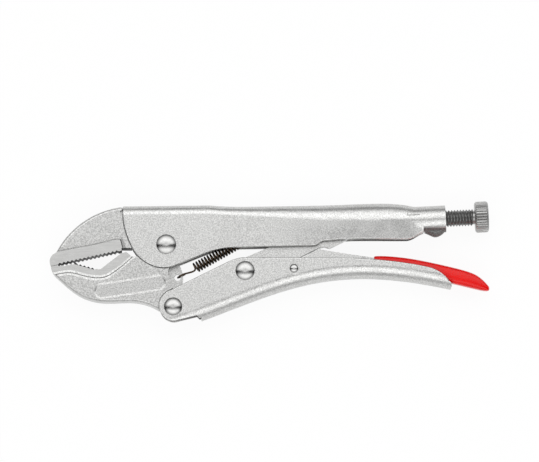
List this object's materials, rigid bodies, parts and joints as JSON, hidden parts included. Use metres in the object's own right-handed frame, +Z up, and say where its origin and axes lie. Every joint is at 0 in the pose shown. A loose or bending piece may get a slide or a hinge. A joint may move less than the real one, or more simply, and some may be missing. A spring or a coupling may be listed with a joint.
{
  "type": "locking pliers",
  "caption": "Locking pliers with curved toothed jaws, a fixed channel handle, an over-centre toggle lever, a sleeved release lever and a knurled adjusting screw.",
  "frame": {"origin": "centre of the underside of the bounding box, with the tool lying flat on its rivet heads", "axes": "+X from the jaw tip towards the knob, +Y from the lower lever towards the upper handle, +Z up along the rivets"},
  "size_m": [0.1801, 0.0494, 0.0146],
  "materials": {
    "satin_nickel": "shot-blasted and nickel-plated, satin",
    "polished_rivet": "polished",
    "red_plastic": "dipped, glossy",
    "black_wire": "blackened",
    "dark_thread": "rolled thread, grey",
    "knurled_steel": "straight knurl, plated"
  },
  "bodies": {
    "upper_frame": {"upper_handle": "satin_nickel", "upper_jaw": "satin_nickel", "jaw_pivot_rivet": "polished_rivet", "tension_spring": "black_wire"},
    "lower_jaw": {"lower_jaw": "satin_nickel"},
    "lower_lever": {"lower_lever": "satin_nickel", "lever_rivet": "polished_rivet", "link_rivet": "polished_rivet", "release_rivet": "polished_rivet"},
    "toggle_link": {"toggle_link": "satin_nickel"},
    "release": {"release_lever": "satin_nickel", "release_sleeve": "red_plastic"},
    "screw": {"adjusting_screw": "dark_thread"},
    "knob": {"adjusting_knob": "knurled_steel"}
  },
  "joints": [
    {"name": "jaw_hinge", "type": "hinge", "parent": "upper_frame", "child": "lower_jaw", "pos_m": [-0.0424, 0.00646, 0.0073], "axis": [0, 0, 1], "range_deg": [0, 14], "deforming": ["tension_spring"]},
    {"name": "lever_hinge", "type": "hinge", "parent": "lower_jaw", "child": "lower_lever", "pos_m": [-0.03953, -0.01908, 0.0073], "axis": [0, 0, 1], "range_deg": [-49.43, 0]},
    {"name": "link_hinge", "type": "hinge", "parent": "lower_lever", "child": "toggle_link", "pos_m": [-0.01011, -0.00435, 0.0073], "axis": [0, 0, 1], "range_deg": [0, 60.99]},
    {"name": "release_hinge", "type": "hinge", "parent": "lower_lever", "child": "release", "pos_m": [0.00991, -0.0034, 0.0073], "axis": [0, 0, 1], "range_deg": [0, 3.5]},
    {"name": "screw_slide", "type": "slide", "parent": "upper_frame", "child": "screw", "axis": [0.9988, 0.0489, 0], "range_m": [0, 0.012]},
    {"name": "knob_turn", "type": "hinge", "parent": "screw", "child": "knob", "pos_m": [0.0363, 0.01583, 0.0073], "axis": [0.9988, 0.0489, 0], "range_deg": [0, 3602]}
  ],
  "couplings": [
    {"joint": "lever_hinge", "follows": "jaw_hinge", "ratio": -3.5164},
    {"joint": "link_hinge", "follows": "jaw_hinge", "ratio": 4.3421},
    {"joint": "knob_turn", "follows": "screw_slide", "rad_per_m": 5236}
  ]
}
